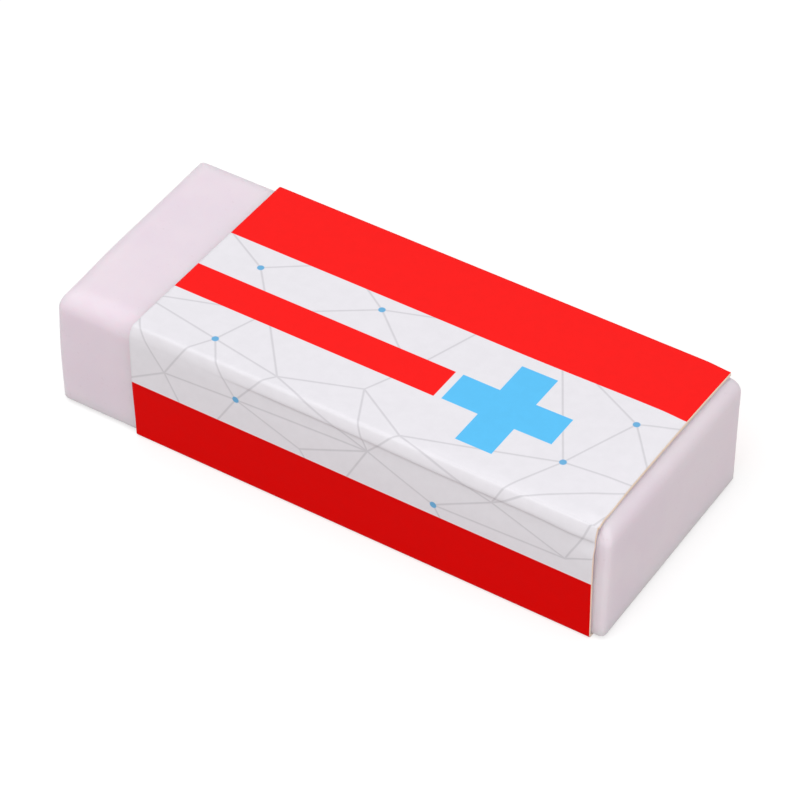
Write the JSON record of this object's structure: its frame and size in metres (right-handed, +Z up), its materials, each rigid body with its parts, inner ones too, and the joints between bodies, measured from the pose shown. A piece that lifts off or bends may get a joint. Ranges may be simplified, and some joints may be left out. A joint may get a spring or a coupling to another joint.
{
  "type": "rubber eraser",
  "caption": "Rectangular vinyl block eraser with rounded top edges, held in a creased open-ended card sleeve that slides along it.",
  "frame": {"origin": "on the surface that the sleeve rests on, under the middle of the block's length and of the sleeve's width", "axes": "+X along the eraser, towards the end where the sleeve lies almost flush; +Y across it, towards the sleeve's glued back side; +Z up, out of the bowed top panel"},
  "size_m": [0.057, 0.0246, 0.0131],
  "materials": {
    "vinyl": "smooth satin off-white vinyl",
    "printed_card": "white card printed in red and sky blue, satin varnish"
  },
  "bodies": {
    "sleeve": {"card_sleeve": "printed_card"},
    "block": {"eraser_block": "vinyl"}
  },
  "joints": [
    {"name": "block_slide", "type": "slide", "parent": "sleeve", "child": "block", "axis": [1, 0, 0], "range_m": [-0.048, 0.056]}
  ]
}
